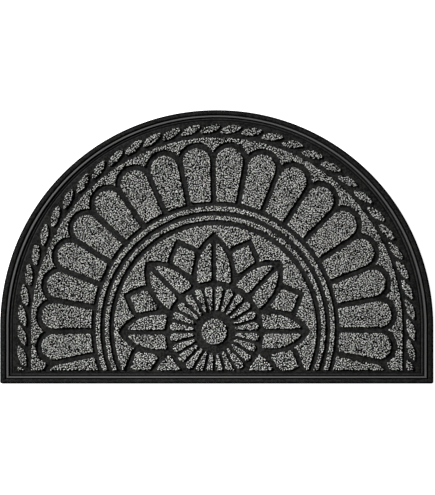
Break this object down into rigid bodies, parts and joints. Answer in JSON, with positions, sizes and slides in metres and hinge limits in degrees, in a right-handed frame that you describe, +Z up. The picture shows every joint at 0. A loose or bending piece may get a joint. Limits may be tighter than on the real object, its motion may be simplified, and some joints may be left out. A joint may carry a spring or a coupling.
{
  "type": "half-round doormat",
  "caption": "Flat half-round doormat: a rubber moulding with a beaded rim and smooth rubber lines round raised grey pile in a rosette, lobe and rope figure.",
  "frame": {"origin": "on the floor under the middle of the mat's bounding box", "axes": "+X along the straight edge, +Y from the straight edge to the top of the arc, +Z up from the floor"},
  "size_m": [0.889, 0.561, 0.008],
  "materials": {
    "rubber": "matt moulded black rubber",
    "pile": "short speckled grey and black fibre pile"
  },
  "bodies": {
    "root": {"rubber_moulding": "rubber", "pile_sheet": "pile"}
  },
  "joints": []
}
